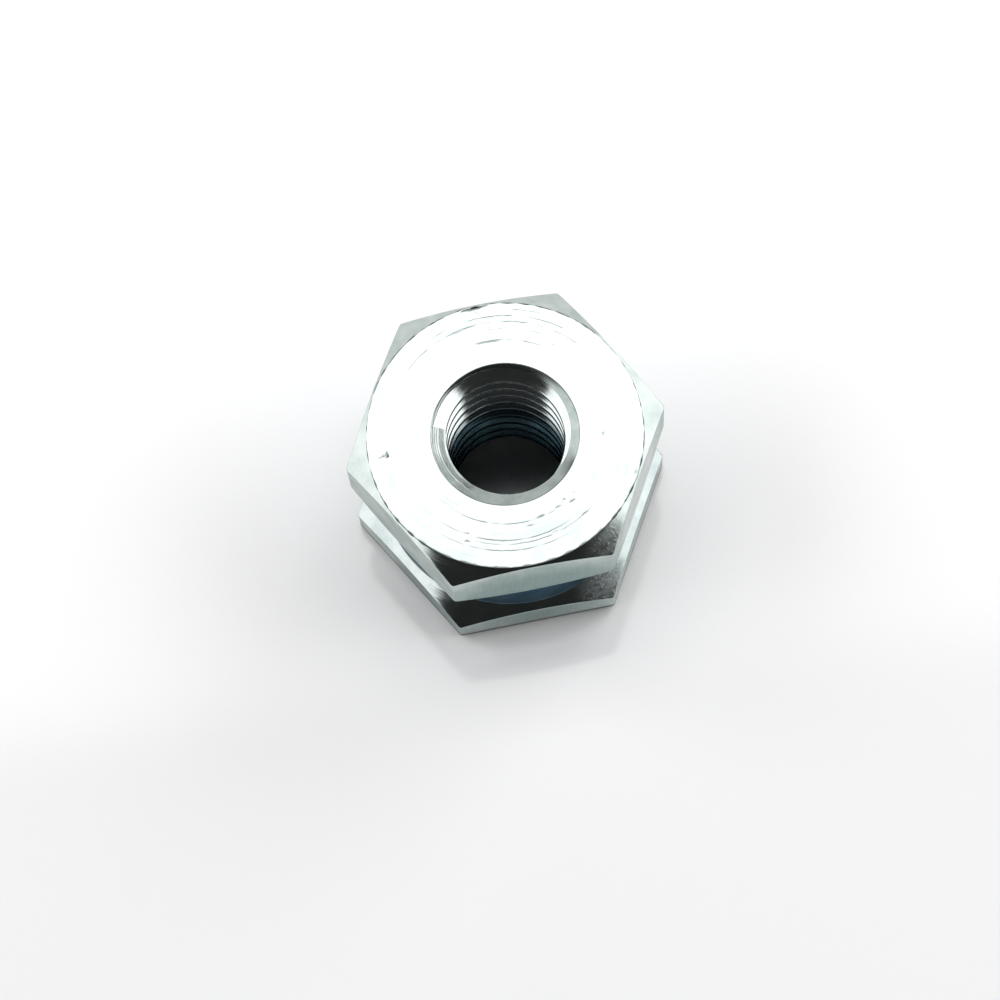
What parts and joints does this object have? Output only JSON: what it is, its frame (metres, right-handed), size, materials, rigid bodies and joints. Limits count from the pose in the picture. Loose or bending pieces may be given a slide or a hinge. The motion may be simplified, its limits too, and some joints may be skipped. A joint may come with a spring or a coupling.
{
  "type": "slot nut",
  "caption": "Hexagonal slot nut turned from bar, with a groove round its waist that runs in a slot and a threaded hole along its axis.",
  "frame": {"origin": "centre of the bottom face, the face of the thin lower flange", "axes": "+Z along the thread axis towards the chamfered top face, +X towards a corner of the hexagon"},
  "size_m": [0.0184, 0.016, 0.012],
  "materials": {
    "zinc_plated_steel": "turned free-cutting steel, bright zinc plated with a faint blue passivation"
  },
  "bodies": {
    "root": {"slot_nut": "zinc_plated_steel"}
  },
  "joints": []
}
